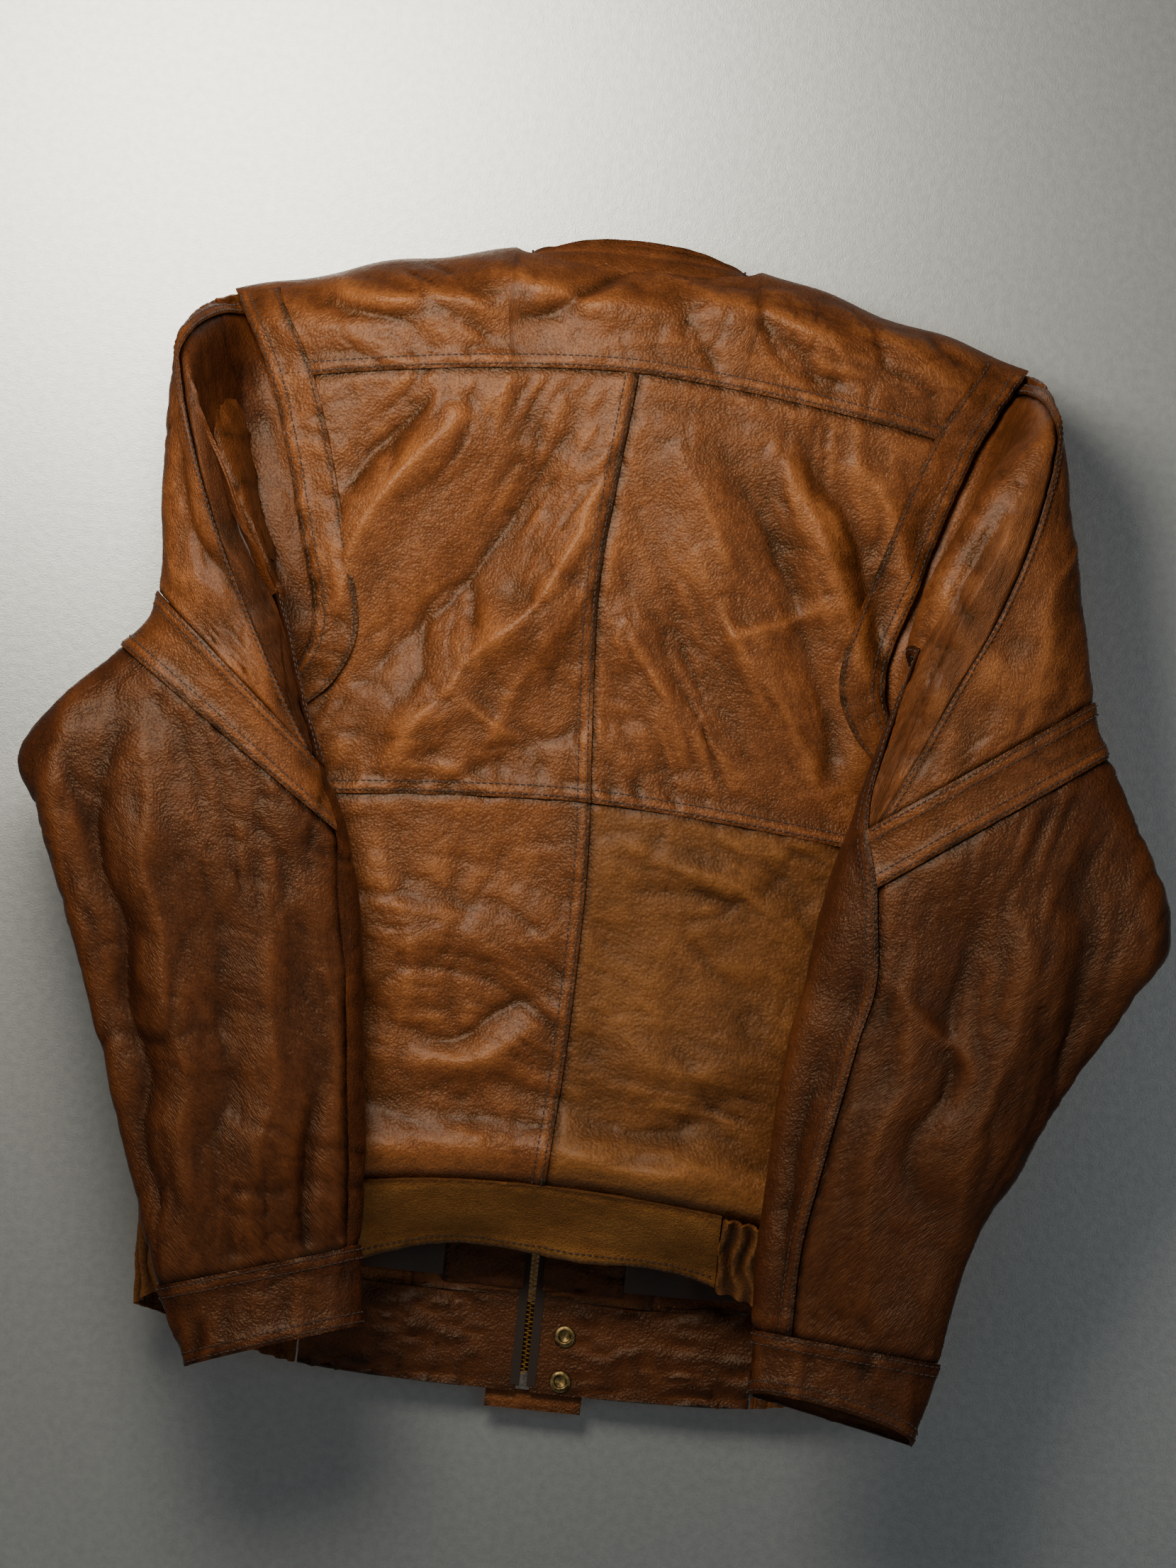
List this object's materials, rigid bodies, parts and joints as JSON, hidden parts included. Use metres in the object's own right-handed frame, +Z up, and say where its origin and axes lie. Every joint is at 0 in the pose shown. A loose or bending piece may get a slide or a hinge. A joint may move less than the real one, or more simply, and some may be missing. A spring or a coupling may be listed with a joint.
{
  "type": "leather riding jacket",
  "caption": "Waist-length leather riding jacket with a yoked and panelled back, gathered waistband, banded elbows, snap cuffs and a front zip, hanging from its neck loop.",
  "frame": {"origin": "top of the hanger loop, inside the back of the neck", "axes": "+Z up, -Y towards the wearer's back, +X towards the wearer's right"},
  "size_m": [0.7507, 0.1894, 0.7801],
  "materials": {
    "brown_leather": "aged semi-gloss brown sheepskin, creased",
    "tan_leather": "worn tan leather, matt and pebbled",
    "dark_leather": "dark brown leather, creased",
    "lining_satin": "dark brown satin",
    "zip_tape": "brown woven tape",
    "zip_brass": "worn brass",
    "zip_steel": "tarnished nickel plate",
    "snap_brass": "antique brass"
  },
  "bodies": {
    "torso": {"back_yoke": "brown_leather", "back_upper_left": "brown_leather", "front_panel_left": "brown_leather", "front_facing_left": "brown_leather", "shoulder_flange_left": "brown_leather", "front_waistband_left": "brown_leather", "pocket_welt_left": "brown_leather", "sleeve_head_left": "dark_leather", "side_elastic_left": "tan_leather", "front_lining_left": "lining_satin", "pocket_bag_left": "lining_satin", "zip_tape_left": "zip_tape", "zip_teeth_left": "zip_brass", "back_upper_right": "brown_leather", "front_panel_right": "brown_leather", "front_facing_right": "brown_leather", "shoulder_flange_right": "brown_leather", "front_waistband_right": "brown_leather", "pocket_welt_right": "brown_leather", "sleeve_head_right": "dark_leather", "side_elastic_right": "tan_leather", "front_lining_right": "lining_satin", "pocket_bag_right": "lining_satin", "zip_tape_right": "zip_tape", "zip_teeth_right": "zip_brass", "back_lower_left": "brown_leather", "back_lower_right": "tan_leather", "back_waistband": "tan_leather", "back_lining": "lining_satin", "collar_outer": "brown_leather", "collar_inner": "brown_leather", "hanger_loop": "brown_leather", "zip_bottom_box": "zip_steel", "waist_snap_back_upper": "snap_brass", "waist_snap_back_lower": "snap_brass"},
    "zip_slider": {"zip_slider": "zip_steel"},
    "zip_puller": {"zip_puller": "zip_steel"},
    "waist_tab": {"waist_tab": "brown_leather", "waist_snap_cap_upper": "snap_brass", "waist_snap_cap_lower": "snap_brass"},
    "left_upper_sleeve": {"sleeve_top_outer_left": "brown_leather", "sleeve_top_inner_left": "brown_leather", "elbow_band_left": "brown_leather", "under_sleeve_left": "dark_leather", "sleeve_lining_left": "lining_satin"},
    "left_forearm": {"forearm_left": "brown_leather", "cuff_left": "dark_leather"},
    "left_cuff_tab": {"cuff_tab_left": "dark_leather", "cuff_snap_cap_left": "snap_brass"},
    "right_upper_sleeve": {"sleeve_top_outer_right": "brown_leather", "sleeve_top_inner_right": "brown_leather", "elbow_band_right": "brown_leather", "under_sleeve_right": "dark_leather", "sleeve_lining_right": "lining_satin"},
    "right_forearm": {"forearm_right": "brown_leather", "cuff_right": "dark_leather"},
    "right_cuff_tab": {"cuff_tab_right": "dark_leather", "cuff_snap_cap_right": "snap_brass"}
  },
  "joints": [
    {"name": "left_shoulder", "type": "hinge", "parent": "torso", "child": "left_upper_sleeve", "pos_m": [-0.27, -0.066, -0.058], "axis": [0, 1, 0], "range_deg": [-5, 80], "deforming": ["sleeve_head_left"]},
    {"name": "right_shoulder", "type": "hinge", "parent": "torso", "child": "right_upper_sleeve", "pos_m": [0.27, -0.066, -0.058], "axis": [0, -1, 0], "range_deg": [-5, 80], "deforming": ["sleeve_head_right"]},
    {"name": "left_elbow", "type": "hinge", "parent": "left_upper_sleeve", "child": "left_forearm", "pos_m": [-0.182, -0.066, -0.345], "axis": [-0.2419, -0.9703, 0], "range_deg": [-12, 75], "deforming": ["elbow_band_left", "under_sleeve_left", "sleeve_lining_left"]},
    {"name": "right_elbow", "type": "hinge", "parent": "right_upper_sleeve", "child": "right_forearm", "pos_m": [0.1885, -0.066, -0.364], "axis": [-0.2419, 0.9703, 0], "range_deg": [-12, 75], "deforming": ["elbow_band_right", "under_sleeve_right", "sleeve_lining_right"]},
    {"name": "left_cuff_tab", "type": "hinge", "parent": "left_forearm", "child": "left_cuff_tab", "pos_m": [-0.1548, -0.045, -0.6867], "axis": [-0.2396, -0.0245, 0.9706], "range_deg": [0, 110]},
    {"name": "right_cuff_tab", "type": "hinge", "parent": "right_forearm", "child": "right_cuff_tab", "pos_m": [0.1879, -0.045, -0.7038], "axis": [-0.0844, 0.0279, -0.996], "range_deg": [0, 110]},
    {"name": "waist_tab_fold", "type": "hinge", "parent": "torso", "child": "waist_tab", "pos_m": [-0.024, 0.0835, -0.714], "axis": [0, 0, 1], "range_deg": [0, 150]},
    {"name": "zip_slide", "type": "slide", "parent": "torso", "child": "zip_slider", "axis": [0, 0, -1], "range_m": [0, 0.546]},
    {"name": "zip_puller_lift", "type": "hinge", "parent": "zip_slider", "child": "zip_puller", "pos_m": [0, 0.0841, -0.074], "axis": [1, 0, 0], "range_deg": [0, 150]}
  ]
}
